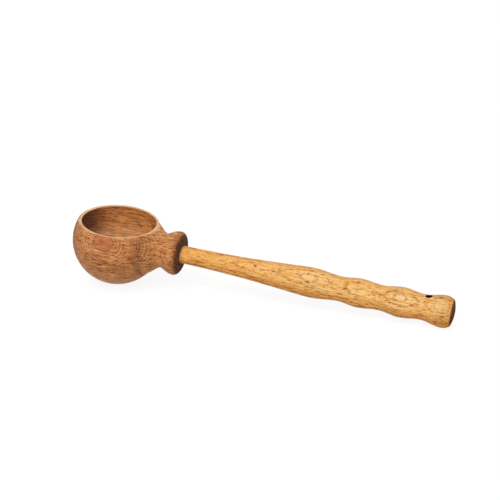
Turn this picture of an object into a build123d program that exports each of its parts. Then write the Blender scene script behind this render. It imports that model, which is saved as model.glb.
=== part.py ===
from build123d import *
import os
from math import acos, asin, atan2, cos, degrees, hypot, pi, sin, sqrt

# Turned wooden water ladle: a hollowed ball with a neck and collar, and a handle glued into the collar.
# All sizes are in millimetres. A station is a distance along the handle axis from the ball's centre.

# Bowl: a ball cut flat at the rim and hollowed round from above
ball_radius = 42.0
ball_rise = 0.8  # the ball's centre lies this far above the handle axis
rim_height = 19.0  # the flat rim lies this far above the ball's centre
lip_width = 2.85
mouth_shift = 0.7  # the mouth's centre lies this far towards the handle
floor_thickness = 6.2
lip_outer_round = 1.2
lip_inner_round = 0.5

# Neck and collar, turned on the bowl piece about the handle axis
neck_drop = 0.4  # the neck's radius, where cone and groove meet, is this far below the rim's height
neck_sink = 0.9  # the cone's line passes this far inside the ball's skin
neck_cove = 30.0  # round between ball and cone
groove_length = 18.1  # from the cone's end to the collar's crest
groove_lead = 9.3  # reach of the cone's line into the groove
groove_trail = 10.1  # reach of the level crest into the groove
crest_length = 18.2  # from the ball to the collar's crest
collar_flare = 1.95  # the collar's crest stands this far above the neck
collar_round_length = 4.8  # from the crest to the collar's end face
collar_face_margin = 4.5  # flat ring left around the shaft

# Joint: a round tenon glued into a blind socket
tenon_shoulder = 2.25  # step from the shaft down to the tenon
tenon_chamfer = 0.8
socket_floor = 6.2  # wood left between the socket and the hollow
glue_thickness = 0.15

# Handle: a slim shaft that grows into a grip with three waists
shaft_radius = 8.25
shaft_length = 125.0
shaft_straight = 71.6  # reach of the shaft's slim start
shaft_crest_run = 14.0  # reach of the round top where the shaft meets the grip
first_swell_radius = 13.7
first_fall_length = 27.3
first_waist_radius = 11.3
second_rise_length = 17.0
second_swell_radius = 13.2
second_fall_length = 20.1
second_waist_radius = 11.4
third_rise_length = 18.8
third_swell_radius = 13.7
third_fall_length = 19.4
third_waist_radius = 11.6
butt_rise_length = 18.9
butt_swell_radius = 14.6

# Butt: a round shoulder, a soft edge and a low dome
butt_shoulder_length = 7.5
butt_drop = 2.5
butt_dome_height = 2.3
butt_edge_round = 3.0

# Hanging hole, drilled square to the rim just past the last waist
hole_offset = 4.0
hole_radius = 3.0
hole_edge_round = 0.6

# Stations and sizes that follow from the driving dimensions
mouth_radius = sqrt(ball_radius**2 - rim_height**2) - lip_width
mouth_depth = rim_height + ball_radius - floor_thickness
cavity_radius = (mouth_radius**2 + mouth_depth**2) / (2 * mouth_depth)
cavity_rise = rim_height - mouth_depth + cavity_radius
cavity_wall_station = mouth_shift + sqrt(cavity_radius**2 - (cavity_rise + ball_rise) ** 2)
neck_radius = rim_height - neck_drop
collar_radius = neck_radius + collar_flare
collar_crest_station = ball_radius + crest_length
cone_end_station = collar_crest_station - groove_length
cone_reach = ball_radius - neck_sink
cone_end_reach = hypot(cone_end_station, neck_radius)
neck_slope = pi / 2 - atan2(neck_radius, cone_end_station) - acos(cone_reach / cone_end_reach)
cone_start_station = cone_reach * sin(neck_slope)
cone_start_radius = cone_reach * cos(neck_slope)
groove_middle_station = (cone_end_station + collar_crest_station) / 2
collar_end_station = collar_crest_station + collar_round_length
collar_face_radius = shaft_radius + collar_face_margin
tenon_radius = shaft_radius - tenon_shoulder
socket_radius = tenon_radius + glue_thickness
socket_end_station = cavity_wall_station + socket_floor
tenon_tip_station = socket_end_station + glue_thickness
first_swell_station = collar_end_station + shaft_length
first_waist_station = first_swell_station + first_fall_length
second_swell_station = first_waist_station + second_rise_length
second_waist_station = second_swell_station + second_fall_length
third_swell_station = second_waist_station + third_rise_length
third_waist_station = third_swell_station + third_fall_length
hole_station = third_waist_station + hole_offset
butt_swell_station = third_waist_station + butt_rise_length
butt_edge_station = butt_swell_station + butt_shoulder_length
butt_edge_radius = butt_swell_radius - butt_drop
butt_end_station = butt_edge_station + butt_dome_height
shoulder_radius = (butt_shoulder_length**2 + butt_drop**2) / (2 * butt_drop)
dome_radius = (butt_edge_radius**2 + butt_dome_height**2) / (2 * butt_dome_height)

# The ladle lies on its ball and its butt, so the handle slopes down by a small angle
shoulder_offset = ball_rise + butt_swell_radius - shoulder_radius
shoulder_reach = hypot(butt_swell_station, shoulder_offset)
slope = asin((ball_radius - shoulder_radius) / shoulder_reach) - atan2(shoulder_offset, butt_swell_station)
along = Vector(cos(slope), 0, -sin(slope))
upward = Vector(sin(slope), 0, cos(slope))

# The origin is on the table below the middle of the whole length
reach = (butt_end_station - dome_radius) * cos(slope) + dome_radius - ball_rise * sin(slope)
ball_centre = Vector((ball_radius - reach) / 2, 0, ball_radius)
axis_start = ball_centre - upward * ball_rise
handle_axis = Axis(axis_start, along)
rim_axis = Axis(ball_centre, upward)
turning_plane = Plane(origin=axis_start, x_dir=along, z_dir=(0, -1, 0))
rim_plane = Plane(origin=ball_centre + upward * rim_height, x_dir=along, z_dir=upward)
collar_plane = Plane(origin=axis_start + along * collar_end_station, x_dir=upward, z_dir=along)
hole_plane = Plane(origin=axis_start + along * hole_station, x_dir=along, z_dir=upward)
cavity_centre = ball_centre + along * mouth_shift + upward * cavity_rise


def half_swell(start, end):
    """Draw a curve that leaves one (station, radius) level and reaches the next level."""
    third = (end[0] - start[0]) / 3
    return Bezier(start, (start[0] + third, start[1]), (end[0] - third, end[1]), end)


# Bowl piece: ball, neck and collar, then the rim, the hollow and the socket
with BuildPart() as bowl:
    with BuildSketch(turning_plane):
        with BuildLine():
            Polyline(
                (cone_start_station, 0),
                (cone_start_station, cone_start_radius),
                (cone_end_station, neck_radius),
            )
            Bezier(
                (cone_end_station, neck_radius),
                (cone_end_station + groove_lead * cos(neck_slope), neck_radius - groove_lead * sin(neck_slope)),
                (collar_crest_station - groove_trail, collar_radius),
                (collar_crest_station, collar_radius),
            )
            EllipticalCenterArc(
                (collar_crest_station, collar_face_radius),
                collar_round_length,
                collar_radius - collar_face_radius,
                arc_size=90,
            )
            Polyline((collar_end_station, collar_face_radius), (collar_end_station, 0), (cone_start_station, 0))
        make_face()
    revolve(axis=handle_axis)
    with Locations(ball_centre):
        Sphere(ball_radius)
    fillet(bowl.edges(Select.NEW), radius=neck_cove)
    with BuildSketch(rim_plane):
        with Locations(((groove_middle_station - ball_radius) / 2, 0)):
            Rectangle(groove_middle_station + ball_radius, 2 * ball_radius)
    extrude(amount=ball_radius, mode=Mode.SUBTRACT)
    fillet(bowl.faces().sort_by(rim_axis)[-1].edges(), radius=lip_outer_round)
    with Locations(cavity_centre):
        Sphere(cavity_radius, mode=Mode.SUBTRACT)
    fillet(bowl.edges(Select.NEW), radius=lip_inner_round)
    with BuildSketch(collar_plane):
        Circle(socket_radius)
    extrude(amount=socket_end_station - collar_end_station, mode=Mode.SUBTRACT)

# Handle: tenon, shaft, grip and butt turned in one, then the hanging hole
grip = [
    (first_swell_station, first_swell_radius),
    (first_waist_station, first_waist_radius),
    (second_swell_station, second_swell_radius),
    (second_waist_station, second_waist_radius),
    (third_swell_station, third_swell_radius),
    (third_waist_station, third_waist_radius),
    (butt_swell_station, butt_swell_radius),
]

with BuildPart() as handle:
    with BuildSketch(turning_plane):
        with BuildLine():
            Polyline(
                (tenon_tip_station, 0),
                (tenon_tip_station, tenon_radius - tenon_chamfer),
                (tenon_tip_station + tenon_chamfer, tenon_radius),
                (collar_end_station, tenon_radius),
                (collar_end_station, shaft_radius),
            )
            Bezier(
                (collar_end_station, shaft_radius),
                (collar_end_station + shaft_straight, shaft_radius),
                (first_swell_station - shaft_crest_run, first_swell_radius),
                (first_swell_station, first_swell_radius),
            )
            for level, next_level in zip(grip, grip[1:]):
                half_swell(level, next_level)
            TangentArc(grip[-1], (butt_edge_station, butt_edge_radius), tangent=(1, 0))
            TangentArc((butt_end_station, 0), (butt_edge_station, butt_edge_radius), tangent=(0, 1))
            Line((butt_end_station, 0), (tenon_tip_station, 0))
        make_face()
    revolve(axis=handle_axis)
    butt_dome = handle.faces().sort_by(handle_axis)[-1]
    fillet(butt_dome.edges().filter_by(GeomType.CIRCLE).sort_by(handle_axis)[:1], radius=butt_edge_round)
    with BuildSketch(hole_plane):
        Circle(hole_radius)
    extrude(amount=butt_swell_radius, both=True, mode=Mode.SUBTRACT)
    fillet(handle.edges(Select.NEW), radius=hole_edge_round)

# Cured glue that fills the room around the tenon
with BuildPart() as glue_line:
    with BuildSketch(turning_plane):
        with BuildLine():
            Polyline(
                (socket_end_station, 0),
                (socket_end_station, socket_radius),
                (collar_end_station, socket_radius),
                (collar_end_station, tenon_radius),
                (tenon_tip_station + tenon_chamfer, tenon_radius),
                (tenon_tip_station, tenon_radius - tenon_chamfer),
                (tenon_tip_station, 0),
                close=True,
            )
        make_face()
    revolve(axis=handle_axis)

# One file for each piece
os.makedirs("parts", exist_ok=True)
pieces = {"bowl": bowl, "handle": handle, "glue_line": glue_line}
for name, piece in pieces.items():
    piece.part.label = name
    export_step(piece.part, f"parts/{name}.step")
print(f"slope {degrees(slope):.3f} degrees, length {reach + ball_radius:.1f}, mouth {2 * mouth_radius:.1f}")
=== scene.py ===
"""Looks of a turned wooden water ladle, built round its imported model.

The bowl and the handle are turned again as fine meshes that stand for the CAD nodes of the same
name. The glue line between them stays as it was packed. All sizes are in metres and all angles in
radians, unless a name or comment says otherwise.
"""

import logging
import math
from abc import ABC, abstractmethod
from dataclasses import dataclass, field
from enum import Enum
from functools import reduce
from typing import ClassVar, Optional, Union

import bmesh
import bpy
from bmesh.types import BMesh, BMVert
from bpy.types import Material, Mesh, Node, NodeSocket as Socket, NodeTree, Object
from mathutils import Matrix, Vector


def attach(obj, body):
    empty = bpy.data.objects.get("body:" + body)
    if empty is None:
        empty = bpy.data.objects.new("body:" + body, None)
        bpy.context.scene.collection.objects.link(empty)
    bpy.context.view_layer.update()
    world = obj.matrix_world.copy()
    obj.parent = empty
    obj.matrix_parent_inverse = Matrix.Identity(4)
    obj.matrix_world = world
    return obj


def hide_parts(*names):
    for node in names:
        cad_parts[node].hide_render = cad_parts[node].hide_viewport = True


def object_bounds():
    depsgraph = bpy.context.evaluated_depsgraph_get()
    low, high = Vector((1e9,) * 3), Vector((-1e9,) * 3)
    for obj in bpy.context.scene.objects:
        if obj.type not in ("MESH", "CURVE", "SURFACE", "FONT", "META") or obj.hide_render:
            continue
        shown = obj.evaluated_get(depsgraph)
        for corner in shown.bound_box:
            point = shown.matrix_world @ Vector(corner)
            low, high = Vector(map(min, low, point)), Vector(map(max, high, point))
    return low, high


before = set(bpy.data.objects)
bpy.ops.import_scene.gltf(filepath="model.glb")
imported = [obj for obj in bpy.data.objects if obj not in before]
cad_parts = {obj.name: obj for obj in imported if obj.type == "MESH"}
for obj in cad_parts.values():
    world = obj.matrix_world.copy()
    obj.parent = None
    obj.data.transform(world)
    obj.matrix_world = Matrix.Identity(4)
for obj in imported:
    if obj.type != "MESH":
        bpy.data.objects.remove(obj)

CAD_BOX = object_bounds()
MILLIMETRE = 0.001
QUARTER_TURN = math.pi / 2.0
FULL_TURN = 2.0 * math.pi
UP = Vector((0.0, 0.0, 1.0))
WELD_DISTANCE = 0.000012  # closer vertices of a turned form become one
SMALLEST_RADIUS = 0.000001  # stands for a pole's radius where something is divided by it
SEARCH_END = 0.0000001  # smallest step in the search for the mouth's end
CREASE_DEGREES = 32.0  # edges with a wider angle stay sharp
MARK_LAYERS = ("wear_and_sheen", "hole_shade")  # pale share of wear and painted sheen, and painted shade, of each vertex
MIX_FIRST, MIX_SECOND, MIX_RESULT = 6, 7, 2  # the colour sockets of a mix node
NOISE_MIDDLE = 0.5

log = logging.getLogger("ladle")

Point = tuple[float, float]  # station along the handle's axis, and radius
Span = tuple[float, float]
Colour = tuple[float, float, float]  # red, green and blue of 0 to 255, as they show on a screen
Value = Union[Socket, float]
Loop = list[BMVert]
Mark = tuple[Vector, float, float]  # a place, its pale share of wear and painted sheen, and its painted shade


class Part(Enum):
    """The CAD nodes that the pieces here stand for or paint."""

    BOWL = "bowl"
    HANDLE = "handle"
    GLUE = "glue_line"


class Slot(Enum):
    """The material slots of the record."""

    BOWL = "bowl_wood"
    HANDLE = "handle_wood"
    GLUE = "glue"


def linear(colour: Colour) -> tuple[float, float, float, float]:
    """Turns a screen colour into the linear colour that a node takes.

    Args:
        colour: The screen colour.

    Returns:
        Linear red, green, blue and a full alpha.
    """
    parts = [c / 255.0 for c in colour]
    r, g, b = [c / 12.92 if c <= 0.04045 else ((c + 0.055) / 1.055) ** 2.4 for c in parts]
    return r, g, b, 1.0


def sweep(poles: tuple[Point, ...], steps: int) -> list[Point]:
    """Draws a soft curve by four poles.

    Args:
        poles: The start, the two poles that bend the curve, and the end.
        steps: Number of points returned.

    Returns:
        The curve's points without its first one.
    """
    points = []
    for k in range(1, steps + 1):
        t = k / steps
        weights = ((1 - t) ** 3, 3 * t * (1 - t) ** 2, 3 * t * t * (1 - t), t ** 3)
        station, radius = (sum(w * pole[i] for w, pole in zip(weights, poles)) for i in (0, 1))
        points.append((station, radius))
    return points


def level_sweep(start: Point, end: Point, steps: int, lead: float = 1 / 3,
                trail: float = 1 / 3) -> list[Point]:
    """A soft curve, level at its ends over a share of its length, without its first point."""
    run = end[0] - start[0]
    return sweep((start, (start[0] + lead * run, start[1]), (end[0] - trail * run, end[1]), end), steps)


def straight(start: Point, end: Point, steps: int) -> list[Point]:
    """Points of a straight line, without its first one."""
    return [(start[0] + (end[0] - start[0]) * k / steps, start[1] + (end[1] - start[1]) * k / steps)
            for k in range(1, steps + 1)]


def polyline(corners: list[Point], steps: tuple[int, ...]) -> list[Point]:
    """Points of straight lines from corner to corner, without the first corner."""
    sides = zip(corners, corners[1:], steps)
    return [point for start, end, count in sides for point in straight(start, end, count)]


def arc(centre: Point, radius: float, first: float, last: float, steps: int) -> list[Point]:
    """Points of a circular arc from one angle to another, without its first one."""
    angles = [first + (last - first) * k / steps for k in range(1, steps + 1)]
    return [(centre[0] + radius * math.cos(a), centre[1] + radius * math.sin(a)) for a in angles]


def radius_at(profile: list[Point], station: float) -> float:
    """Reads a profile between two of its points.

    Args:
        profile: The profile.
        station: Where it is read.

    Returns:
        The radius there.
    """
    for (a, radius_a), (b, radius_b) in zip(profile, profile[1:]):
        if a <= station <= b and b > a:
            return radius_a + (radius_b - radius_a) * (station - a) / (b - a)
    return profile[-1][1]


def bend(start: Vector, corner: Vector, end: Vector, share: float) -> Vector:
    """The point at a share of the curve that rounds a corner from start to end."""
    rest = 1.0 - share
    return start * (rest * rest) + corner * (2.0 * share * rest) + end * (share * share)


def open_edge(form: BMesh, station: float, side: float) -> Loop:
    """Vertices of the open edge above (1) or below (-1) the axis, in order round a station."""
    verts = {v for e in form.edges if e.is_boundary for v in e.verts if v.co.z * side > 0.0}
    return sorted(verts, key=lambda v: math.atan2(v.co.y, v.co.x - station))


def stitch(form: BMesh, first: Loop, second: Loop) -> None:
    """Joins two rings of as many vertices by faces."""
    for k, vert in enumerate(second):
        form.faces.new((first[k - 1], first[k], vert, second[k - 1]))


def grow(form: BMesh, loop: Loop, columns: list[list[Mark]]) -> Loop:
    """Grows rings of faces from an open edge.

    Args:
        form: The form, with its mark layers.
        loop: Vertices of the edge, in order.
        columns: For each of them, the vertices that follow it inwards.

    Returns:
        The last ring.
    """
    wear_and_sheen, hole_shade = (form.verts.layers.float[name] for name in MARK_LAYERS)
    for row in zip(*columns):
        ring = []
        for place, wear_and_sheen_share, hole_shade_share in row:
            vert = form.verts.new(place)
            vert[wear_and_sheen] = wear_and_sheen_share
            vert[hole_shade] = hole_shade_share
            ring.append(vert)
        stitch(form, loop, ring)
        loop = ring
    return loop


class NodeDesk:
    """Lays the nodes of one tree with short calls."""

    def __init__(self, tree: NodeTree) -> None:
        """Keeps the tree that the nodes go to."""
        self.tree = tree

    def node(self, kind: str, inputs: Optional[dict] = None, **settings: object) -> Node:
        """Adds one node.

        Args:
            kind: Type of the node.
            inputs: What goes into its sockets, by their names or numbers.
            settings: Its properties.

        Returns:
            The node.
        """
        node = self.tree.nodes.new(kind)
        for key, value in settings.items():
            setattr(node, key, value)
        for key, value in (inputs or {}).items():
            self.feed(node.inputs[key], value)
        return node

    def feed(self, socket: Socket, value: object) -> None:
        """Fills one socket.

        Args:
            socket: The input.
            value: The output that it is linked to, or its own value.
        """
        if isinstance(value, Socket):
            self.tree.links.new(value, socket)
        else:
            socket.default_value = value

    def math(self, operation: str, first: Value, second: Value = 0.0) -> Socket:
        """The result of one operation."""
        return self.node("ShaderNodeMath", {0: first, 1: second}, operation=operation).outputs[0]

    def product(self, *factors: Value) -> Socket:
        """Two or more values multiplied."""
        return reduce(lambda first, second: self.math("MULTIPLY", first, second), factors)

    def split(self, vector: Socket) -> bpy.types.bpy_prop_collection:
        """The three parts of a place or a colour."""
        return self.node("ShaderNodeSeparateXYZ", {0: vector}).outputs

    def shrink(self, place: Socket, sizes: Vector) -> Socket:
        """A place divided by the size of one cell along each direction."""
        return self.node("ShaderNodeVectorMath", {0: place, 1: sizes}, operation="DIVIDE").outputs[0]

    def noise(self, place: Socket, sizes: Vector, detail: float = 1.0) -> Socket:
        """Soft noise of about 0 to 1, with cells of the given sizes."""
        inputs = {"Vector": self.shrink(place, sizes), "Scale": 1.0, "Detail": detail}
        return self.node("ShaderNodeTexNoise", inputs).outputs["Fac"]

    def swing(self, place: Socket, sizes: Vector, detail: float, reach: float) -> Socket:
        """Soft noise about 0, of the given reach."""
        return self.product(self.math("SUBTRACT", self.noise(place, sizes, detail), NOISE_MIDDLE), reach)

    def cells(self, place: Socket, sizes: Vector) -> bpy.types.bpy_prop_collection:
        """Scattered points, one per cell: the distance to the nearest and its random colour."""
        inputs = {"Vector": self.shrink(place, sizes), "Scale": 1.0}
        return self.node("ShaderNodeTexVoronoi", inputs).outputs

    def step(self, value: Value, low: Value, high: Value, first: Value = 0.0,
             last: Value = 1.0) -> Socket:
        """A soft step from the first level at low to the last level at high."""
        inputs = {"Value": value, "From Min": low, "From Max": high, "To Min": first, "To Max": last}
        return self.node("ShaderNodeMapRange", inputs, interpolation_type="SMOOTHSTEP").outputs["Result"]

    def mix(self, share: Value, first: Union[Socket, Colour], second: Union[Socket, Colour],
            blend: str = "MIX") -> Socket:
        """Mixes two colours.

        Args:
            share: Share of the second colour.
            first: The first colour, or the socket that gives it.
            second: The second colour, or the socket that gives it.
            blend: How the second goes over the first.

        Returns:
            The mixed colour.
        """
        node = self.node("ShaderNodeMix", {0: share}, data_type="RGBA", blend_type=blend)
        for number, colour in ((MIX_FIRST, first), (MIX_SECOND, second)):
            self.feed(node.inputs[number], colour if isinstance(colour, Socket) else linear(colour))
        return node.outputs[MIX_RESULT]


class TurnedForm:
    """Geometry Nodes tree that turns a profile round the X axis, as a lathe does.

    The profile is a row of points with X along the axis and Y the radius. Where a ring would stand
    above the mouth level it is left open at the top, so a bowl's mouth needs no cutting afterwards.
    """

    name = "turned_form"
    inputs = {"Profile": "Geometry", "Segments": "Int", "Mouth Level": "Float", "Mouth End": "Float",
              "Rise": "Float", "Rise Start": "Float", "Rise End": "Float", "Weld": "Float",
              "Wood": "Material"}

    def __init__(self) -> None:
        """Builds the tree once."""
        self.tree = bpy.data.node_groups.new(self.name, "GeometryNodeTree")
        for name, kind in self.inputs.items():
            self.tree.interface.new_socket(name, in_out="INPUT", socket_type="NodeSocket" + kind)
        self.tree.interface.new_socket("Form", in_out="OUTPUT", socket_type="NodeSocketGeometry")
        self._lay()

    def _lay(self) -> None:
        """Lays the nodes: a grid of rings by segments, bent round the axis and welded."""
        desk = NodeDesk(self.tree)
        given = desk.node("NodeGroupInput").outputs
        profile = given["Profile"]
        size = desk.node("GeometryNodeAttributeDomainSize", {"Geometry": profile}, component="MESH")
        rings = size.outputs["Point Count"]
        around = desk.math("ADD", given["Segments"], 1.0)
        # The grid is 1 by 1 about its own middle
        inputs = {"Size X": 1.0, "Size Y": 1.0, "Vertices X": rings, "Vertices Y": around}
        form = desk.node("GeometryNodeMeshGrid", inputs).outputs["Mesh"]
        position = desk.node("GeometryNodeInputPosition").outputs[0]
        place = desk.split(position)
        ring_share = desk.math("ADD", place["X"], 0.5)
        round_share = desk.math("ADD", place["Y"], 0.5)
        row = desk.math("ROUND", desk.product(ring_share, desk.math("SUBTRACT", rings, 1.0)))
        inputs = {"Geometry": profile, "Value": position, "Index": row}
        sample = desk.node("GeometryNodeSampleIndex", inputs, data_type="FLOAT_VECTOR", domain="POINT")
        station, radius, _ = desk.split(sample.outputs[0])

        rise = desk.step(station, given["Rise Start"], given["Rise End"], given["Rise"], 0.0)
        height = desk.math("SUBTRACT", given["Mouth Level"], rise)
        reach = desk.math("DIVIDE", height, desk.math("MAXIMUM", radius, SMALLEST_RADIUS))
        past = desk.math("GREATER_THAN", station, given["Mouth End"])
        covered = desk.math("MINIMUM", desk.math("MAXIMUM", reach, past), 1.0)
        opening = desk.math("ARCCOSINE", covered)
        closed = desk.math("SUBTRACT", FULL_TURN, desk.product(opening, 2.0))
        angle = desk.math("ADD", opening, desk.product(round_share, closed))
        upward = desk.math("ADD", desk.product(radius, desk.math("COSINE", angle)), rise)
        sideways = desk.product(radius, desk.math("SINE", angle))
        spot = desk.node("ShaderNodeCombineXYZ", {"X": station, "Y": sideways, "Z": upward}).outputs[0]

        chain = (("SetPosition", {"Position": spot}), ("MergeByDistance", {"Distance": given["Weld"]}),
                 ("RealizeInstances", {}), ("SetMaterial", {"Material": given["Wood"]}))
        for kind, inputs in chain:
            form = desk.node("GeometryNode" + kind, {"Geometry": form, **inputs}).outputs[0]
        desk.node("NodeGroupOutput", {"Form": form})

    def turn(self, name: str, profile: list[Point], inputs: dict[str, object]) -> Mesh:
        """Turns one profile into a plain mesh.

        Args:
            name: Name of the mesh.
            profile: Station and radius of each ring, in order.
            inputs: Values of the tree's other inputs, by their names.

        Returns:
            The mesh, in the lathe's own frame.
        """
        line = bpy.data.meshes.new(name + "_profile")
        edges = [(k - 1, k) for k in range(1, len(profile))]
        line.from_pydata([(station, radius, 0.0) for station, radius in profile], edges, [])
        blank = bpy.data.objects.new(name + "_profile", line)
        bpy.context.scene.collection.objects.link(blank)
        lathe = blank.modifiers.new(self.name, "NODES")
        lathe.node_group = self.tree
        items = self.tree.interface.items_tree
        sockets = {item.name: item.identifier for item in items if item.in_out == "INPUT"}
        for key, value in inputs.items():
            lathe[sockets[key]] = value
        turned = blank.evaluated_get(bpy.context.evaluated_depsgraph_get())
        mesh = bpy.data.meshes.new_from_object(turned)
        mesh.name = name
        blank.modifiers.remove(lathe)
        bpy.data.objects.remove(blank)
        bpy.data.meshes.remove(line)
        return mesh


def blank_material(name: str) -> tuple[Material, NodeDesk, Node]:
    """Makes a material.

    Args:
        name: Its name.

    Returns:
        The material, the desk for its nodes, and its shader.
    """
    material = bpy.data.materials.new(name)
    material.use_nodes = True
    return material, NodeDesk(material.node_tree), material.node_tree.nodes["Principled BSDF"]


@dataclass(frozen=True)
class WoodFinish:
    """Oiled wood with growth rings, flecks, lines and fibres, all cut from one solid.

    Lengths are in millimetres, because that is the scale of the figure. A cell's sizes are given
    along the grain, across it and across the rings.
    """

    slot: Slot
    facing: Span  # across the rings to the heart: degrees above the axis, and from the front to the butt
    pale: Colour  # the lightest fibres
    deep: Colour  # the darkest fibres
    warm: Colour  # wide patches
    sap: Colour  # the sapwood side
    late: Colour  # the late wood that closes each ring
    fleck: Colour
    wear_and_sheen: Colour  # wood rubbed pale, and on the bowl's lip and well a painted highlight and sheen
    end_grain_and_shade_tint: Colour  # tint of end grain beside long grain, partly painted shade where the end faces away from the lights
    sap_range: Span  # where sapwood turns to heartwood, across the rings
    ring_width: float  # from the heart to the first ring; the later ones lie wider apart
    ring_start: float  # where the heart begins, across the rings
    ring_bow: float  # how far the rings curve across the grain, one over length
    ring_depth: float  # strength of the ring lines
    ring_seed: float  # picks which rings are dark
    ring_fade: float  # share of the rings' strength that is left on the sapwood side
    ring_hold: float  # how far the flecks keep to the rings, from 0 to 1
    heart_and_highlight: Colour  # inside the last ring; on the handle also a painted highlight on the swells' crowns
    heart_and_highlight_share: float  # share of that colour
    heart_fleck: float  # strength of the flecks in the heart
    heart_edge: float  # strength of the line round it
    heart_line: float  # depth of that line
    heart_blur: float  # depth over which the heart's colour fades in
    fibre_size: Vector  # cell of the short fibres
    streak_size: Vector  # cell of the long streaks
    streak_share: float  # share of the streaks in the tone, the rest being the fibres'
    fleck_size: Vector  # cell of one fleck
    fleck_depth: float  # strength of the flecks
    fleck_chance: Span  # levels between which a fleck's lot takes it from faint to dark
    line_size: Vector  # cell of the long lines that stand for flecks on the sapwood side
    line_depth: float  # strength of those lines
    sway: float  # how far the fibres wave to and fro
    gloss: float  # strength of the shine
    painted_shade_span: Span  # places along the grain between which the wood takes a tint of painted shade, over the collar and the butt
    # the tint of that painted shade
    painted_shade_tint: Colour
    hole_shade: Colour = (44, 20, 8)  # painted shade inside the hanging hole's bore
    knot: Optional[Vector] = None  # a pin knot's place along and across the grain, and its size
    roughness: float = 0.46

    def material(self, lie: "Lie") -> Material:
        """Builds the material.

        Args:
            lie: How the ladle lies, because the grain runs along its handle.

        Returns:
            The material, which reads object coordinates and the two mark layers: wear with painted sheen,
            and painted shade.
        """
        material, desk, shader = blank_material(self.slot.value)
        WoodFigure(self, lie, desk).paint(shader)
        return material


# Cells of the figure that both woods share, in millimetres
WAVE_SIZE = Vector((11.0, 6.0, 10.0))
DRIFT_SIZE = Vector((80.0, 30.0, 30.0))
TREMOR_SIZE = Vector((6.0, 2.5, 4.0))
BREAK_SIZE = Vector((3.5, 1.6, 1.6))
PATCH_SIZE = Vector((50.0, 18.0, 14.0))
SHEEN_SIZE = Vector((12.0, 6.0, 6.0))

# Growth rings: how far they stray, and where in a ring its late wood and its line come and go
DRIFT_REACH = 0.8
TREMOR_REACH = 0.18
RING_GROWTH = 0.7
LATE_COMES = (0.25, 0.75)
LATE_GOES = (0.9, 1.0)
LINE_COMES = (0.6, 0.88)
LINE_GOES = (0.92, 1.0)
LINE_LOT = (0.2, 1.0, 0.6, 1.0)
LINE_BREAKS = (0.38, 0.56, 0.1, 1.0)
HEART_GATE = (-0.1, 0.02)
HEART_SOFT = 0.3
BORDER_SOFT = 0.5
BORDER_BREAKS = (0.3, 0.5, 0.4, 1.0)

# Flecks: size and tone by lot, the second, shorter set, and the lines of the sapwood side
DASH_LOT = (0.1, 0.9, 0.12, 0.62)
DASH_CORE = 0.7
DASH_FAINT = 0.2
SHORT_SIZE = 0.6
SHORT_DEPTH = 0.8
STRAND_SPAN = (0.42, 0.51)
STRAND_SIDE = (0.05, 0.35)
SAP_HOLD = 0.3
LATE_FULL = 0.9
SAP_FLECK = 0.88

# Pin knot, in sizes of the knot but for the depth that it shows from
KNOT_STRETCH = 1.25
KNOT_CORE = (0.2, 0.95, 0.8, 0.0)
HALO_COMES = (1.0, 1.25)
HALO_GOES = (1.25, 1.7, 0.2, 0.0)
KNOT_DEPTH = (0.0, 4.0)

# End grain, whose darkening is partly painted shade on the ends turned from the lights; tone, roughness
# and relief
END_FACING = (0.55, 0.98)
# share of the end-grain darkening, partly painted shade, on the ends that face away from the butt
FAR_END = 0.45
FIBRE_SPAN = (0.32, 0.68)
PATCH_TONE = (0.35, 0.65, 0.0, 0.4)
SAP_SHARE = 0.55
# share of the pale colour: wear, and painted highlight and sheen
WEAR_AND_SHEEN_SHARE = 0.75
SHEEN_SPAN = (0.3, 0.7)
SHEEN_ROUGH = (-0.06, 0.07)
FLECK_ROUGH = 0.08
DULL_ROUGH = 0.4
RELIEF = 0.5
BUMP_STRENGTH = 0.4
BUMP_HEIGHT = 0.00015


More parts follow.
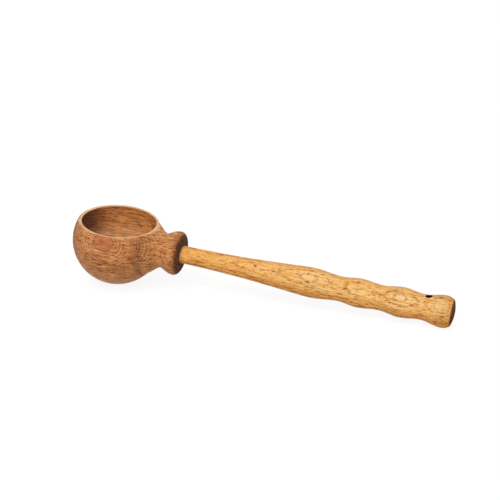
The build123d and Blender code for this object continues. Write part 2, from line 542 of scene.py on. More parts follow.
class WoodFigure:
    """Lays the figure of one wood: rings, flecks, end grain and knot, some of it painted shade and
    highlight.
    """

    def __init__(self, wood: WoodFinish, lie: "Lie", desk: NodeDesk) -> None:
        """Lays the place in the wood: along the grain, across it, and across the rings.

        Args:
            wood: The wood.
            lie: How the ladle lies.
            desk: The desk for the nodes.
        """
        self.wood = wood
        self.desk = desk
        self.grain = lie.along
        outward = lie.facing(*wood.facing)
        along = (self.grain - outward * self.grain.dot(outward)).normalized()
        turn = Matrix((along, outward.cross(along), outward)).transposed()
        inputs = {"Vector": desk.node("ShaderNodeTexCoord").outputs["Object"],
                  "Location": lie.ball_centre, "Rotation": turn.to_euler(), "Scale": (MILLIMETRE,) * 3}
        self.place = desk.node("ShaderNodeMapping", inputs, vector_type="TEXTURE").outputs["Vector"]
        self.along, self.across, self.depth = desk.split(self.place)
        self.side = desk.step(self.depth, *wood.sap_range)
        wave = desk.swing(self.place, WAVE_SIZE, 1.0, wood.sway)
        inputs = {0: self.place, 1: desk.node("ShaderNodeCombineXYZ", {"Y": wave}).outputs[0]}
        self.swayed = desk.node("ShaderNodeVectorMath", inputs, operation="ADD").outputs[0]

    def _rings(self) -> tuple[Socket, Socket, Socket]:
        """Lays the growth rings.

        Returns:
            The lines that close them, how far each ring draws flecks, and the heart in the last one, which
            on the handle also holds a painted highlight.
        """
        wood, desk = self.wood, self.desk
        wander = desk.math("ADD", desk.swing(self.place, DRIFT_SIZE, 1.0, DRIFT_REACH),
                           desk.swing(self.place, TREMOR_SIZE, 2.0, TREMOR_REACH))
        bow = desk.product(self.across, self.across, wood.ring_bow)
        strayed = desk.math("SUBTRACT", desk.math("ADD", self.depth, wander), wood.ring_start)
        level = desk.math("ADD", strayed, bow)
        below = desk.math("MAXIMUM", desk.math("DIVIDE", level, -wood.ring_width), 0.0)
        count = desk.product(desk.math("POWER", below, RING_GROWTH), -1.0)
        share = desk.math("FRACT", count)
        number = desk.math("ADD", desk.math("FLOOR", count), wood.ring_seed)
        lots = desk.node("ShaderNodeTexWhiteNoise", {"W": number}, noise_dimensions="1D")
        lot = desk.split(lots.outputs["Color"])["X"]
        late = desk.product(desk.step(share, *LATE_COMES), desk.step(share, *LATE_GOES, 1.0, 0.0))
        line = desk.product(desk.step(share, *LINE_COMES), desk.step(share, *LINE_GOES, 1.0, 0.0),
                            desk.step(lot, *LINE_LOT))

        heart_and_highlight = desk.step(level, -wood.heart_blur, HEART_SOFT * wood.heart_blur)
        outside = desk.step(level, *HEART_GATE, 1.0, 0.0)
        border = desk.product(desk.step(level, -wood.heart_line, -BORDER_SOFT * wood.heart_line),
                              desk.step(level, *HEART_GATE, wood.heart_edge, 0.0))
        breaks = desk.noise(self.place, BREAK_SIZE)
        line = desk.product(line, outside, desk.step(breaks, *LINE_BREAKS))
        line = desk.math("MAXIMUM", line, desk.product(border, desk.step(breaks, *BORDER_BREAKS)))
        return line, desk.step(outside, 0.0, 1.0, wood.heart_fleck, late), heart_and_highlight

    def _dashes(self, sizes: Vector) -> Socket:
        """Lays thin dashes along the grain, of uneven size, some of them faint.

        Args:
            sizes: Cell of one dash.

        Returns:
            1 on a dark dash, 0 beside it.
        """
        desk = self.desk
        cells = desk.cells(self.swayed, sizes)
        size_lot, tone_lot, _ = desk.split(cells["Color"])
        reach = desk.step(size_lot, *DASH_LOT)
        dash = desk.step(cells["Distance"], desk.product(reach, DASH_CORE), reach, 1.0, 0.0)
        return desk.product(dash, desk.step(tone_lot, *self.wood.fleck_chance, DASH_FAINT, 1.0))

    def _knot(self) -> Value:
        """Lays the pin knot.

        Returns:
            1 in the knot, 0 away from it.
        """
        if self.wood.knot is None:
            return 0.0
        desk, knot = self.desk, self.wood.knot
        x = desk.math("DIVIDE", desk.math("SUBTRACT", self.along, knot.x), knot.z * KNOT_STRETCH)
        y = desk.math("DIVIDE", desk.math("SUBTRACT", self.across, knot.y), knot.z)
        away = desk.math("SQRT", desk.math("ADD", desk.product(x, x), desk.product(y, y)))
        halo = desk.product(desk.step(away, *HALO_COMES), desk.step(away, *HALO_GOES))
        shape = desk.math("MAXIMUM", desk.step(away, *KNOT_CORE), halo)
        return desk.product(shape, desk.step(self.depth, *KNOT_DEPTH))

    def _flecks(self, late: Socket) -> Socket:
        """Lays all dark marks: the dashes, the lines of the sapwood side, and the knot.

        Args:
            late: How far each ring draws flecks.

        Returns:
            1 on a mark, 0 beside it.
        """
        wood, desk = self.wood, self.desk
        short = desk.product(self._dashes(wood.fleck_size * SHORT_SIZE), SHORT_DEPTH)
        dashes = desk.math("MAXIMUM", self._dashes(wood.fleck_size), short)
        lines = desk.step(desk.noise(self.swayed, wood.line_size), *STRAND_SPAN, wood.line_depth, 0.0)
        marks = desk.step(self.side, *STRAND_SIDE, lines, dashes)
        loose = desk.step(self.side, 0.0, 1.0, 1.0 - SAP_HOLD * wood.ring_hold, 1.0 - wood.ring_hold)
        marks = desk.product(marks, desk.step(late, 0.0, LATE_FULL, loose, 1.0),
                             desk.step(self.side, 0.0, 1.0, SAP_FLECK, 1.0))
        return desk.math("MAXIMUM", marks, self._knot())

    def _end_grain_and_shade(self) -> Socket:
        """Finds the end grain, whose darkening is partly painted shade on the ends turned from the lights.

        Returns:
            0 on long grain, 1 on end grain towards the butt and less on the end away from it.
        """
        desk = self.desk
        inputs = {0: desk.node("ShaderNodeNewGeometry").outputs["Normal"], 1: self.grain}
        facing = desk.node("ShaderNodeVectorMath", inputs, operation="DOT_PRODUCT").outputs["Value"]
        low, high = END_FACING
        far_end = desk.step(facing, -high, -low, FAR_END, 0.0)
        return desk.math("MAXIMUM", desk.step(facing, low, high), far_end)

    def paint(self, shader: Node) -> None:
        """Feeds the wood's colour, roughness and relief to a shader.

        Args:
            shader: The shader.
        """
        wood, desk = self.wood, self.desk
        ring, late, heart_and_highlight = self._rings()
        fleck = self._flecks(late)
        # end grain, whose darkening below is partly painted shade
        end = self._end_grain_and_shade()
        fibre = desk.noise(self.swayed, wood.fibre_size)
        streak = desk.noise(self.swayed, wood.streak_size)
        patch = desk.noise(self.place, PATCH_SIZE, 2.0)
        sheen = desk.noise(self.place, SHEEN_SIZE, 2.0)
        wear_and_sheen, hole_shade = (desk.node("ShaderNodeAttribute", attribute_name=name).outputs["Fac"]
                       for name in MARK_LAYERS)

        tone = desk.math("ADD", desk.product(desk.step(fibre, *FIBRE_SPAN), 1.0 - wood.streak_share),
                         desk.product(desk.step(streak, *FIBRE_SPAN), wood.streak_share))
        ring_depth = desk.product(desk.step(self.side, 0.0, 1.0, wood.ring_fade, 1.0), wood.ring_depth)
        colour = desk.mix(tone, wood.deep, wood.pale)
        for share, over, blend in (
                (desk.step(patch, *PATCH_TONE), wood.warm, "MIX"),
                (desk.product(desk.math("SUBTRACT", 1.0, self.side), SAP_SHARE), wood.sap, "MIX"),
                # the heart, on the handle also a painted highlight on the swells' crowns
                (desk.product(heart_and_highlight, wood.heart_and_highlight_share), wood.heart_and_highlight, "MIX"),
                (desk.product(ring, ring_depth), wood.late, "MIX"),
                (desk.product(fleck, wood.fleck_depth), wood.fleck, "MIX"),
                # end grain, darkened partly as painted shade
                (end, wood.end_grain_and_shade_tint, "MULTIPLY"),
                # darker over the collar and the butt: painted shade
                (desk.step(self.along, *wood.painted_shade_span), wood.painted_shade_tint, "MULTIPLY"),
                # pale wear, and on the bowl's lip and well a painted highlight and sheen
                (desk.product(wear_and_sheen, WEAR_AND_SHEEN_SHARE), wood.wear_and_sheen, "MIX"),
                # painted shade inside the hanging hole
                (hole_shade, wood.hole_shade, "MIX")):
            colour = desk.mix(share, colour, over, blend)
        desk.feed(shader.inputs["Base Color"], colour)

        rough = desk.step(sheen, *SHEEN_SPAN, *(wood.roughness + change for change in SHEEN_ROUGH))
        rough = desk.math("ADD", rough, desk.product(fleck, FLECK_ROUGH))
        dull = desk.product(desk.math("MAXIMUM", end, hole_shade), DULL_ROUGH)
        desk.feed(shader.inputs["Roughness"], desk.math("ADD", rough, dull))
        desk.feed(shader.inputs["Specular IOR Level"], wood.gloss)
        relief = desk.math("SUBTRACT", desk.product(fibre, RELIEF), desk.product(fleck, RELIEF))
        inputs = {"Strength": BUMP_STRENGTH, "Distance": BUMP_HEIGHT, "Height": relief}
        desk.feed(shader.inputs["Normal"], desk.node("ShaderNodeBump", inputs).outputs["Normal"])


@dataclass(frozen=True)
class GlueFinish:
    """Dried wood glue: amber, uneven and a little glossy."""

    name: str = "dried_glue"
    slot: Slot = Slot.GLUE
    thin: Colour = (214, 170, 98)  # where the film is thin
    thick: Colour = (150, 98, 42)  # where it is thick
    cell: float = 0.0016  # size of its blotches
    blotches: Span = (0.35, 0.65)  # levels of the film between which its colour turns
    roughness: tuple[float, ...] = (0.3, 0.7, 0.22, 0.4)  # two levels of the film, and its roughness there

    def material(self) -> Material:
        """Builds the material.

        Returns:
            The material, which reads object coordinates.
        """
        glue, desk, shader = blank_material(self.name)
        place = desk.node("ShaderNodeTexCoord").outputs["Object"]
        film = desk.noise(place, Vector((self.cell,) * 3), 3.0)
        colour = desk.mix(desk.step(film, *self.blotches), self.thin, self.thick)
        desk.feed(shader.inputs["Base Color"], colour)
        desk.feed(shader.inputs["Roughness"], desk.step(film, *self.roughness))
        return glue


@dataclass
class Piece(ABC):
    """What the two turned pieces share: a profile that is turned, worked on and put in its place."""

    part: ClassVar[Part]  # the CAD node that the piece stands for
    obj: Optional[Object] = field(default=None, init=False)

    @abstractmethod
    def profile(self) -> list[Point]:
        """Station and radius of each ring, in order."""

    @abstractmethod
    def turning(self) -> dict[str, float]:
        """What the lathe is set to."""

    @abstractmethod
    def work(self, form: BMesh) -> None:
        """Adds what can't be turned to the turned form."""

    def build(self, lathe: TurnedForm, lathe_frame: Matrix, wood: Material) -> None:
        """Turns the piece, works on it and makes it an object that stands for its CAD node.

        Args:
            lathe: The tree that turns profiles.
            lathe_frame: Where the lathe's frame lies in the row frame.
            wood: The piece's material.
        """
        name = self.part.value + "_turned"
        inputs = {"Weld": WELD_DISTANCE, "Wood": wood, **self.turning()}
        mesh = lathe.turn(name, self.profile(), inputs)
        form = bmesh.new()
        form.from_mesh(mesh)
        for layer in MARK_LAYERS:
            form.verts.layers.float.new(layer)
        form.normal_update()
        self.work(form)
        bmesh.ops.recalc_face_normals(form, faces=form.faces)
        limit = math.radians(CREASE_DEGREES)
        for edge in form.edges:
            edge.smooth = len(edge.link_faces) == 2 and edge.calc_face_angle() < limit
        for face in form.faces:
            face.smooth = True
        form.to_mesh(mesh)
        form.free()
        mesh.transform(lathe_frame)
        self.obj = bpy.data.objects.new(name, mesh)
        bpy.context.scene.collection.objects.link(self.obj)
        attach(self.obj, "root")
        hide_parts(self.part.value)

    def dress(self, finish: WoodFinish, wood: Material) -> None:
        """Paints the piece.

        Args:
            finish: The finish; not used.
            wood: Its material.
        """
        self.obj.data.materials.clear()
        self.obj.data.materials.append(wood)


@dataclass
class Bowl(Piece):
    """The round bowl with its neck and collar."""

    part = Part.BOWL
    ball_radius: float = 0.042
    ball_rise: float = 0.0008  # of the ball's centre above the handle's axis
    rim_height: float = 0.019  # above the ball's centre
    lip_width: float = 0.00285  # of the flat rim
    mouth_shift: float = 0.0007  # of the mouth's centre towards the handle
    floor_thickness: float = 0.0062  # under the deepest point of the well
    lip_outer_round: float = 0.0012
    lip_inner_round: float = 0.0005
    neck_radius: float = 0.0186  # where the cone behind the ball ends and the groove begins
    neck_sink: float = 0.0009  # how far the cone's line passes inside the ball's skin
    neck_cove: float = 0.03  # round between ball and cone
    groove_length: float = 0.0181  # from the cone's end to the collar's crest
    groove_lead: float = 0.0093  # reach of the cone's line into the groove
    groove_trail: float = 0.0101  # reach of the level crest into the groove
    crest_length: float = 0.0182  # from the ball to the collar's crest
    collar_radius: float = 0.02055  # of the crest
    collar_round_length: float = 0.0048  # over which the collar rounds off to its face
    face_margin: float = 0.0045  # flat ring of the face beyond the shaft
    shaft_radius: float = 0.00825  # of the shaft that meets the face
    tenon_shoulder: float = 0.00225  # of the shaft round the tenon
    glue_thickness: float = 0.00015
    socket_floor: float = 0.0062  # wood between the socket and the well
    sink_share: float = 0.6  # of the ball's radius, where the rings begin to sink to the handle's axis
    least_lean: float = 0.2  # keeps the lip's slope finite where the skin lies flat
    well_sheen: float = 0.25  # painted sheen on the well's lower part
    well_sheen_span: Span = (0.24, 0.36)  # share of the way down the well over which that painted sheen comes
    segments: int = 160  # round a ring
    cap_rings: int = 18
    mouth_rings: int = 96
    cone_rings: int = 6
    groove_rings: int = 40
    collar_rings: int = 18
    socket_rings: tuple[int, ...] = (2, 10, 3)  # over the face, down the socket and over its floor
    lip_rings: tuple[int, ...] = (5, 3, 4)  # over the outer round, the flat and the inner round
    lip_wear_and_highlight: tuple[float, ...] = (0.05, 0.4, 0.85, 0.05)  # pale share, rubbed wear with a painted highlight: where each of them begins, and at the end
    well_rings: int = 56

    def __post_init__(self) -> None:
        """Works out the sizes that follow from the others."""
        self.crest_station: float = self.ball_radius + self.crest_length
        self.collar_end: float = self.crest_station + self.collar_round_length
        self.cone_end: float = self.crest_station - self.groove_length
        self.sink_start: float = self.ball_radius * self.sink_share
        # The cone is a line at this distance from the ball's centre that falls by this angle
        self.cone_reach: float = self.ball_radius - self.neck_sink
        seen = math.atan2(self.neck_radius, self.cone_end)
        tip = math.hypot(self.cone_end, self.neck_radius)
        self.neck_slope: float = QUARTER_TURN - seen - math.acos(self.cone_reach / tip)
        # The well is part of a sphere of its own, with its centre above the ball's centre
        self.mouth_radius: float = math.sqrt(self.ball_radius ** 2 - self.rim_height ** 2) - self.lip_width
        depth = self.rim_height + self.ball_radius - self.floor_thickness
        self.well_radius: float = (self.mouth_radius ** 2 + depth ** 2) / (2.0 * depth)
        self.well_rise: float = self.rim_height - depth + self.well_radius
        self.tenon_radius: float = self.shaft_radius - self.tenon_shoulder
        wall = math.sqrt(self.well_radius ** 2 - (self.ball_rise + self.well_rise) ** 2)
        self.socket_end: float = self.mouth_shift + wall + self.socket_floor
        # Height above the ball's centre where the rim's outer round begins
        lean = math.asin(self.rim_height / self.ball_radius)
        tangent = self.lip_outer_round * math.tan((QUARTER_TURN - lean) / 2.0)
        self.lip_edge: float = self.rim_height - tangent * math.cos(lean)

    def outside(self, station: float) -> float:
        """Radius of the ball, of the cove behind it or of the cone.

        Args:
            station: Distance along the handle's axis from the ball's centre.

        Returns:
            The radius about that axis.
        """
        sine, cosine = math.sin(self.neck_slope), math.cos(self.neck_slope)
        reach, depth = self.ball_radius + self.neck_cove, self.cone_reach + self.neck_cove
        run = math.sqrt(reach ** 2 - depth ** 2)
        cove = (depth * sine + run * cosine, depth * cosine - run * sine)
        if station <= cove[0] * self.ball_radius / reach:
            return math.sqrt(max(self.ball_radius ** 2 - station ** 2, 0.0))
        if station >= cove[0] - self.neck_cove * sine:
            return (self.cone_reach - station * sine) / cosine
        return cove[1] - math.sqrt(self.neck_cove ** 2 - (station - cove[0]) ** 2)

    def rise(self, station: float) -> float:
        """How far a ring's centre lies above the handle's axis.

        Args:
            station: The ring's station.

        Returns:
            The height.
        """
        share = (station - self.sink_start) / (self.cone_end - self.sink_start)
        share = min(max(share, 0.0), 1.0)
        return self.ball_rise * (1.0 - share * share * (3.0 - 2.0 * share))

    def profile(self) -> list[Point]:
        """Works out the rings of the outside and the socket.

        Returns:
            Station and radius of each ring, from the ball's far pole to the socket's floor.
        """
        low = -math.sqrt(self.ball_radius ** 2 - self.lip_edge ** 2)
        high = 0.0
        step = self.ball_radius / 2.0
        while step > SEARCH_END:
            if self.outside(high + step) + self.rise(high + step) > self.lip_edge + self.ball_rise:
                high += step
            step /= 2.0
        cap = math.asin(self.lip_edge / self.ball_radius)
        points = [(-self.ball_radius, 0.0)]
        points += arc((0.0, 0.0), self.ball_radius, math.pi, math.pi - cap, self.cap_rings)[:-1]
        middle, half = (low + high) / 2.0, (high - low) / 2.0
        for k in range(self.mouth_rings + 1):
            station = middle - half * math.cos(math.pi * k / self.mouth_rings)
            points.append((station, self.outside(station)))
        points += straight(points[-1], (self.cone_end, self.neck_radius), self.cone_rings)
        dip = (self.cone_end + self.groove_lead * math.cos(self.neck_slope),
               self.neck_radius - self.groove_lead * math.sin(self.neck_slope))
        crest = (self.crest_station, self.collar_radius)
        level = (self.crest_station - self.groove_trail, self.collar_radius)
        points += sweep((points[-1], dip, level, crest), self.groove_rings)
        face = self.shaft_radius + self.face_margin
        for k in range(1, self.collar_rings + 1):
            a = QUARTER_TURN * (1.0 - k / self.collar_rings)
            points.append((self.crest_station + self.collar_round_length * math.cos(a),
                           face + (self.collar_radius - face) * math.sin(a)))
        socket = self.tenon_radius + self.glue_thickness
        corners = [(self.collar_end, face), (self.collar_end, socket), (self.socket_end, socket),
                   (self.socket_end, 0.0)]
        return points + polyline(corners, self.socket_rings)

    def turning(self) -> dict[str, float]:
        """Sets the lathe to leave the mouth open and to sink the rings from the ball to the neck."""
        return {"Segments": self.segments, "Mouth Level": self.lip_edge + self.ball_rise,
                "Mouth End": self.ball_radius, "Rise": self.ball_rise, "Rise Start": self.sink_start,
                "Rise End": self.cone_end}

    def work(self, form: BMesh) -> None:
        """Adds the lip and the well.

        Args:
            form: The turned outside.
        """
        loop = open_edge(form, self.mouth_shift, 1.0)
        last = grow(form, loop, [self._column(vert) for vert in loop])
        bottom = self.ball_rise + self.well_rise - self.well_radius
        floor = form.verts.new((self.mouth_shift, 0.0, bottom))
        for k, vert in enumerate(last):
            form.faces.new((last[k - 1], vert, floor))

    def _column(self, vert: BMVert) -> list[Mark]:
        """Works out the vertices from the mouth's edge over the lip and down the well.

        Args:
            vert: The vertex of the edge.

        Returns:
            The places with their pale share, wear and painted highlight on the lip and painted sheen in
            the well, and their painted shade.
        """
        middle = Vector((self.mouth_shift, 0.0, self.ball_rise))
        top = self.ball_rise + self.rim_height
        centre = middle + UP * self.well_rise
        lean = math.asin((self.rim_height - self.well_rise) / self.well_radius)
        tangent = self.lip_inner_round * math.tan((QUARTER_TURN + lean) / 2.0)
        turn = lean - tangent / self.well_radius
        edge = vert.co.copy()
        out = Vector((edge.x - middle.x, edge.y - middle.y, 0.0)).normalized()
        slope = -vert.normal.z / max(vert.normal.dot(out), self.least_lean)
        corner = edge + (out * slope + UP) * (top - edge.z)
        flat = corner - out * (corner - edge).length
        rim = Vector((middle.x, middle.y, top)) + out * self.mouth_radius
        inner = rim + out * tangent
        wall = centre + (out * math.cos(turn) + UP * math.sin(turn)) * self.well_radius

        stretches = ((edge, corner, flat), (flat, (flat + inner) / 2.0, inner), (inner, rim, wall))
        column = []
        for poles, rings, first, last in zip(stretches, self.lip_rings, self.lip_wear_and_highlight, self.lip_wear_and_highlight[1:]):
            for share in (k / rings for k in range(1, rings + 1)):
                column.append((bend(*poles, share), first + (last - first) * share, 0.0))
        # The well's lower part is painted paler: painted sheen
        start, end = self.well_sheen_span
        for share in (k / self.well_rings for k in range(1, self.well_rings)):
            a = turn - (turn + QUARTER_TURN) * share
            place = centre + (out * math.cos(a) + UP * math.sin(a)) * self.well_radius
            wear_and_sheen_share = self.well_sheen * min(max((share - start) / (end - start), 0.0), 1.0)
            column.append((place, wear_and_sheen_share, 0.0))
        return column


@dataclass
class Handle(Piece):
    """The turned handle with its tenon, its grip of four swells and its hanging hole."""

    part = Part.HANDLE
    bowl: Bowl  # that the tenon goes into
    shaft_length: float = 0.125  # from the collar to the first swell
    shaft_straight: float = 0.0716  # over which the shaft leaves the collar level
    shaft_crest_run: float = 0.014  # over which it comes in level to the first swell
    swells: tuple[float, ...] = (0.0137, 0.0132, 0.0137, 0.0146)  # radius of each swell
    waists: tuple[float, ...] = (0.0113, 0.0114, 0.0116)  # radius of the waists between them
    falls: tuple[float, ...] = (0.0273, 0.0201, 0.0194)  # length from each swell to the waist behind it
    rises: tuple[float, ...] = (0.017, 0.0188, 0.0189)  # length from each waist to the next swell
    shoulder_length: float = 0.0075  # from the last swell to the butt's edge
    butt_drop: float = 0.0025  # how far the butt's edge lies inside the last swell
    dome_height: float = 0.0023  # of the butt
    edge_round: float = 0.003  # between shoulder and dome
    tenon_chamfer: float = 0.0008
    hole_offset: float = 0.004  # of the hanging hole behind the last waist
    hole_radius: float = 0.003
    hole_edge: float = 0.0006  # round of the hole's edge
    hole_wear: float = 0.3  # beside the hole
    patch_reach: float = 1.7  # of the patch that is laid anew round the hole, in hole radii
    segments: int = 96  # round a ring
    tenon_rings: tuple[int, ...] = (2, 1, 8, 2)  # over the tip, the chamfer, the tenon and its shoulder
    shaft_rings: int = 150
    swell_rings: int = 44  # from a swell to a waist, or back
    butt_rings: tuple[int, ...] = (16, 14, 14)  # over the shoulder, its edge and the dome
    patch_rings: int = 5
    edge_rings: int = 4
    bore_rings: int = 12

    def grip_stations(self) -> list[Point]:
        """Works out the grip's swells and waists.

        Returns:
            Station and radius of each, from the first swell on.
        """
        station = self.bowl.collar_end + self.shaft_length
        points = [(station, self.swells[0])]
        for fall, waist, rise, swell in zip(self.falls, self.waists, self.rises, self.swells[1:]):
            points += [(station + fall, waist), (station + fall + rise, swell)]
            station += fall + rise
        return points

    def shoulder_radius(self) -> float:
        """Radius of the arc from the last swell to the butt's edge."""
        return (self.shoulder_length ** 2 + self.butt_drop ** 2) / (2.0 * self.butt_drop)

    def _butt(self, start: Point) -> list[Point]:
        """Works out the butt: shoulder, rounded edge and dome.

        Args:
            start: Station and radius of the last swell.

        Returns:
            The points as station and radius.
        """
        shoulder = self.shoulder_radius()
        edge = start[1] - self.butt_drop
        dome = (edge ** 2 + self.dome_height ** 2) / (2.0 * self.dome_height)
        first = (start[0], start[1] - shoulder)
        second = (start[0] + self.shoulder_length + self.dome_height - dome, 0.0)
        near, far = shoulder - self.edge_round, dome - self.edge_round
        dx, dy = second[0] - first[0], second[1] - first[1]
        gap = math.hypot(dx, dy)
        along = (near ** 2 - far ** 2 + gap ** 2) / (2.0 * gap)
        away = math.sqrt(near ** 2 - along ** 2)
        centre = (first[0] + (along * dx + away * dy) / gap, first[1] + (along * dy - away * dx) / gap)
        leave = math.atan2(centre[1] - first[1], centre[0] - first[0])
        arrive = math.atan2(centre[1] - second[1], centre[0] - second[0])
        shoulder_rings, edge_rings, dome_rings = self.butt_rings
        points = arc(first, shoulder, QUARTER_TURN, leave, shoulder_rings)
        points += arc(centre, self.edge_round, leave, arrive, edge_rings)
        points += arc(second, dome, arrive, 0.0, dome_rings)
        points[-1] = (points[-1][0], 0.0)
        return points

    def profile(self) -> list[Point]:
        """Works out the rings of the whole handle.

        Returns:
            Station and radius of each ring, from the tenon's tip to the butt's pole.
        """
        tip = self.bowl.socket_end + self.bowl.glue_thickness
        tenon, end = self.bowl.tenon_radius, self.bowl.collar_end
        corners = [(tip, 0.0), (tip, tenon - self.tenon_chamfer), (tip + self.tenon_chamfer, tenon),
                   (end, tenon), (end, self.bowl.shaft_radius)]
        points = corners[:1] + polyline(corners, self.tenon_rings)
        grip = self.grip_stations()
        lead, trail = self.shaft_straight / self.shaft_length, self.shaft_crest_run / self.shaft_length
        points += level_sweep(points[-1], grip[0], self.shaft_rings, lead, trail)
        for target in grip[1:]:
            points += level_sweep(points[-1], target, self.swell_rings)
        return points + self._butt(points[-1])

    def turning(self) -> dict[str, float]:
        """Sets the lathe to close every ring, with no rise."""
        return {"Segments": self.segments, "Mouth Level": 1.0, "Mouth End": 0.0, "Rise": 0.0,
                "Rise Start": 0.0, "Rise End": 1.0}

    def work(self, form: BMesh) -> None:
        """Drills the hanging hole through the grip from top to bottom.

        Args:
            form: The turned handle.
        """
        profile = self.profile()
        station = self.grip_stations()[-2][0] + self.hole_offset
        patch = self.hole_radius * self.patch_reach
        rows = [x for x, _ in profile if abs(x - station) < patch]
        segment = FULL_TURN / self.segments
        limit = int(math.asin(patch / radius_at(profile, station)) / segment) * segment
        inside = []
        for face in form.faces:
            middle = face.calc_center_median()
            if min(rows) < middle.x < max(rows) and abs(math.atan2(middle.y, abs(middle.z))) < limit:
                inside.append(face)
        bmesh.ops.delete(form, geom=inside, context="FACES")
        feet = []
        for loop in [open_edge(form, station, side) for side in (1.0, -1.0)]:
            feet.append(grow(form, loop, [self._column(vert, profile, station) for vert in loop]))
        top, bottom = feet
        # The bore is painted dark all through: painted shade
        bore = [[(a.co.lerp(b.co, k / self.bore_rings), 0.0, 1.0) for k in range(1, self.bore_rings)]
                for a, b in zip(top, bottom)]
        stitch(form, grow(form, top, bore), bottom)

    def _column(self, vert: BMVert, profile: list[Point], station: float) -> list[Mark]:
        """Works out the vertices from the edge of the opened patch into the hole.

        Args:
            vert: The vertex of the edge.
            profile: Station and radius of each ring of the handle.
            station: Station of the hole.

        Returns:
            The places with their wear and their painted shade.
        """
        side = math.copysign(1.0, vert.co.z)
        away = Vector((vert.co.x - station, vert.co.y))
        far, lip = away.length, self.hole_radius + self.hole_edge
        reaches = [far + (lip - far) * k / self.patch_rings for k in range(1, self.patch_rings + 1)]
        places = []
        for reach in reaches + [self.hole_radius]:
            x, y = station + away.x / far * reach, away.y / far * reach
            places.append(Vector((x, y, side * math.sqrt(radius_at(profile, x) ** 2 - y * y))))
        wall = places.pop()
        foot = wall - UP * (side * self.hole_edge)
        column = [(place, self.hole_wear * k / self.patch_rings, 0.0) for k, place in enumerate(places, 1)]
        shares = [k / self.edge_rings for k in range(1, self.edge_rings + 1)]
        # The hole's rounded edge darkens into the bore: painted shade
        return column + [(bend(places[-1], wall, foot, share), 0.0, share) for share in shares]


@dataclass(frozen=True)
class Lie:
    """How the ladle lies on the table: on its ball and on the butt's swell."""

    slope: float  # how far the handle dips towards the butt
    ball_centre: Vector  # in the row frame
    rise: float  # how far that centre lies above the handle's axis

    @classmethod
    def of(cls, handle: Handle) -> "Lie":
        """Works out the lie from the sizes of the handle and its bowl.

        Args:
            handle: The handle.

        Returns:
            The lie.
        """
        bowl = handle.bowl
        station, swell = handle.grip_stations()[-1]
        shoulder = handle.shoulder_radius()
        drop = bowl.ball_rise + swell - shoulder
        dip = math.asin((bowl.ball_radius - shoulder) / math.hypot(station, drop))
        slope = dip - math.atan2(drop, station)
        low, _ = CAD_BOX
        return cls(slope, Vector((low[0] + bowl.ball_radius, 0.0, bowl.ball_radius)), bowl.ball_rise)

    @property
    def along(self) -> Vector:
        """Direction of the handle's axis, towards the butt."""
        return Vector((math.cos(self.slope), 0.0, -math.sin(self.slope)))

    @property
    def upward(self) -> Vector:
        """Direction across the rim."""
        return Vector((math.sin(self.slope), 0.0, math.cos(self.slope)))

    def lathe_frame(self) -> Matrix:
        """Where the lathe's frame lies in the row frame."""
        turn = Matrix((self.along, Vector((0.0, 1.0, 0.0)), self.upward)).transposed().to_4x4()
        return Matrix.Translation(self.ball_centre - self.upward * self.rise) @ turn

    def facing(self, elevation: float, azimuth: float) -> Vector:
        """A direction seen from the front of the ladle.

        Args:
            elevation: Degrees above the plane of the axis.
            azimuth: Degrees from the front towards the butt.

        Returns:
            The direction in the row frame.
        """
        e, a = math.radians(elevation), math.radians(azimuth)
        front = Vector((0.0, -1.0, 0.0))
        return (front * math.cos(a) + self.along * math.sin(a)) * math.cos(e) + self.upward * math.sin(e)


@dataclass(frozen=True)
class Lamp:
    """A wide, distant light."""

    name: str
    azimuth: float  # degrees from the front towards +X
    elevation: float  # degrees above the table
    strength: float
    spread: float  # degrees that it spans, seen from the ladle


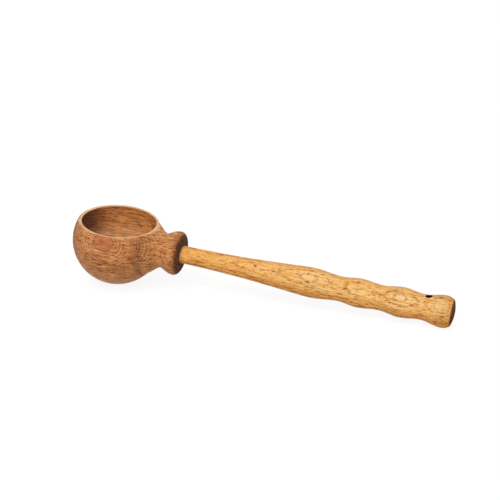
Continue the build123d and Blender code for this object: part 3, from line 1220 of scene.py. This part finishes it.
@dataclass
class Studio:
    """Camera, soft light and a pale floor."""

    aim: Vector = field(default_factory=lambda: Vector((-0.00845, 0.0, 0.04914)))  # of the camera
    distance: float = 1.2039  # of the camera from that point
    azimuth: float = 18.056  # degrees of the camera from the front towards the butt
    elevation: float = 24.003  # degrees of the camera above the table
    lens: float = 95.314  # millimetres
    sensor: float = 36.0  # millimetres
    view_range: Span = (0.05, 30.0)
    floor_size: float = 12.0  # edge of the floor
    ambient: float = 0.25  # strength of the room's own light
    bounce: float = 0.57  # share of the light that the floor throws back at the ladle
    shadow: float = 0.16  # depth of the ladle's shadow on the floor
    floor_light: float = 0.7  # how bright the lights leave a white floor
    lamps: tuple[Lamp, ...] = (
        Lamp("key_light", 6.0, 18.0, 1.55, 90.0),
        Lamp("soft_box", -16.0, 61.0, 0.98, 24.0),
        Lamp("side_fill", 62.0, 52.0, 0.6, 80.0),
        Lamp("back_fill", 170.0, 42.0, 0.42, 90.0),
    )

    @staticmethod
    def towards(azimuth: float, elevation: float) -> Vector:
        """Direction from the ladle, by degrees from the front towards +X and above the table."""
        a, e = math.radians(azimuth), math.radians(elevation)
        return Vector((math.sin(a) * math.cos(e), -math.cos(a) * math.cos(e), math.sin(e)))

    def build(self) -> None:
        """Adds the camera, the lights, the floor and the room."""
        self._camera()
        for lamp in self.lamps:
            self._sun(lamp)
        self._floor()
        self._room()

    def _camera(self) -> None:
        """Adds the camera at the photo's place."""
        lens = bpy.data.cameras.new("photo_camera")
        lens.lens = self.lens
        lens.sensor_width = self.sensor
        lens.clip_start, lens.clip_end = self.view_range
        camera = bpy.data.objects.new("photo_camera", lens)
        back = self.towards(self.azimuth, self.elevation)
        camera.location = self.aim + back * self.distance
        camera.rotation_euler = back.to_track_quat("Z", "Y").to_euler()
        bpy.context.scene.collection.objects.link(camera)
        bpy.context.scene.camera = camera

    def _sun(self, lamp: Lamp) -> None:
        """Adds one light.

        Args:
            lamp: The light.
        """
        light = bpy.data.lights.new(lamp.name, "SUN")
        light.energy = lamp.strength
        light.angle = math.radians(lamp.spread)
        sun = bpy.data.objects.new(lamp.name, light)
        back = self.towards(lamp.azimuth, lamp.elevation)
        sun.rotation_euler = back.to_track_quat("Z", "Y").to_euler()
        bpy.context.scene.collection.objects.link(sun)

    @staticmethod
    def _show(desk: NodeDesk, lit: Node, shown: Node, output: str) -> None:
        """Lights the ladle with one shader and shows another one.

        Args:
            desk: The desk for the nodes.
            lit: The shader that lights the ladle.
            shown: The shader that the camera and reflections see.
            output: Type of the output node.
        """
        path = desk.node("ShaderNodeLightPath").outputs
        seen = desk.math("MAXIMUM", path["Is Camera Ray"], path["Is Glossy Ray"])
        seen = desk.math("MAXIMUM", seen, path["Is Transmission Ray"])
        choice = desk.node("ShaderNodeMixShader", {0: seen, 1: lit.outputs[0], 2: shown.outputs[0]})
        desk.node(output, {"Surface": choice.outputs[0]})

    def _floor(self) -> None:
        """Adds a pale floor that shows white but for the ladle's soft shadow."""
        half = self.floor_size / 2.0
        mesh = bpy.data.meshes.new("floor")
        corners = [(-half, -half, 0.0), (half, -half, 0.0), (half, half, 0.0), (-half, half, 0.0)]
        mesh.from_pydata(corners, [], [(0, 1, 2, 3)])
        floor = bpy.data.objects.new("floor", mesh)
        bpy.context.scene.collection.objects.link(floor)
        paper, desk, _ = blank_material("white_sweep")
        paper.node_tree.nodes.clear()
        bounce, shadow = (desk.node("ShaderNodeBsdfDiffuse", {"Color": (grey, grey, grey, 1.0)})
                          for grey in (self.bounce, self.shadow))
        white = desk.node("ShaderNodeEmission", {"Strength": 1.0 - self.floor_light * self.shadow})
        shown = desk.node("ShaderNodeAddShader", {0: shadow.outputs[0], 1: white.outputs[0]})
        self._show(desk, bounce, shown, "ShaderNodeOutputMaterial")
        mesh.materials.append(paper)

    def _room(self) -> None:
        """Adds the room: white where it shows, dim where it only lights."""
        world = bpy.data.worlds.new("room")
        world.use_nodes = True
        world.node_tree.nodes.clear()
        desk = NodeDesk(world.node_tree)
        light = desk.node("ShaderNodeBackground", {"Strength": self.ambient})
        white = desk.node("ShaderNodeBackground", {"Color": (1.0, 1.0, 1.0, 1.0)})
        self._show(desk, light, white, "ShaderNodeOutputWorld")
        bpy.context.scene.world = world


# Reddish wood, cut so that its rings face the front of the ball; its collar is darkened as painted shade
BOWL_WOOD = WoodFinish(
    slot=Slot.BOWL, facing=(18.6, 2.4), pale=(242, 176, 112), deep=(158, 88, 42), warm=(204, 124, 64),
    sap=(248, 180, 108), late=(98, 44, 18), fleck=(98, 44, 18), wear_and_sheen=(255, 212, 170),
    end_grain_and_shade_tint=(142, 146, 172), sap_range=(-30.0, 30.0), ring_width=0.62, ring_start=40.94,
    ring_bow=-0.0047, ring_depth=0.6, ring_seed=3.0, ring_fade=0.4, ring_hold=0.55, heart_and_highlight=(170, 80, 52),
    heart_and_highlight_share=0.5, heart_fleck=0.2, heart_edge=1.0, heart_line=0.42, heart_blur=0.12,
    fibre_size=Vector((8.0, 0.85, 5.0)), streak_size=Vector((26.0, 1.4, 6.0)), streak_share=0.45,
    fleck_size=Vector((6.8, 0.92, 10.0)), fleck_depth=0.95, fleck_chance=(0.1, 0.7),
    line_size=Vector((15.0, 0.75, 7.0)), line_depth=0.85, sway=1.8, gloss=0.15,
    painted_shade_span=(55.0, 63.0), painted_shade_tint=(224, 208, 198))

# Golden wood, cut so that its rings face up and to the front; its pale heart on the swells' crowns is
# partly a painted highlight
HANDLE_WOOD = WoodFinish(
    slot=Slot.HANDLE, facing=(43.0, 0.0), pale=(255, 226, 160), deep=(222, 148, 62), warm=(248, 190, 104),
    sap=(249, 172, 81), late=(172, 84, 10), fleck=(150, 66, 4), wear_and_sheen=(236, 184, 116),
    end_grain_and_shade_tint=(128, 116, 132), sap_range=(5.0, 13.5), ring_width=1.4, ring_start=13.0,
    ring_bow=0.0, ring_depth=0.62, ring_seed=7.0, ring_fade=1.0, ring_hold=0.5, heart_and_highlight=(255, 224, 172),
    heart_and_highlight_share=0.35, heart_fleck=0.25, heart_edge=0.5, heart_line=0.5, heart_blur=0.9,
    fibre_size=Vector((4.2, 0.6, 5.0)), streak_size=Vector((32.0, 0.9, 5.0)), streak_share=0.6,
    fleck_size=Vector((5.6, 0.85, 2.8)), fleck_depth=1.0, fleck_chance=(0.3, 0.85),
    line_size=Vector((11.0, 0.75, 1.1)), line_depth=0.78, sway=0.9, gloss=0.05,
    painted_shade_span=(296.0, 318.0), painted_shade_tint=(234, 223, 207), knot=Vector((137.6, 0.6, 2.5)))


def main() -> None:
    """Builds and dresses the ladle, then sets up the studio."""
    logging.basicConfig(level=logging.INFO, format="%(name)s: %(message)s")
    bowl = Bowl()
    handle = Handle(bowl)
    lie = Lie.of(handle)
    lathe = TurnedForm()
    for piece, finish in ((bowl, BOWL_WOOD), (handle, HANDLE_WOOD)):
        wood = finish.material(lie)
        piece.build(lathe, lie.lathe_frame(), wood)
        piece.dress(finish, wood)
        log.info("%s: %d faces", piece.obj.name, len(piece.obj.data.polygons))

    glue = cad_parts[Part.GLUE.value]
    film = GlueFinish()
    glue.data.materials.clear()
    glue.data.materials.append(film.material())
    log.info("%s: painted", glue.name)

    Studio().build()
    bpy.context.scene.view_settings.view_transform = "Standard"


if __name__ == "__main__":
    main()
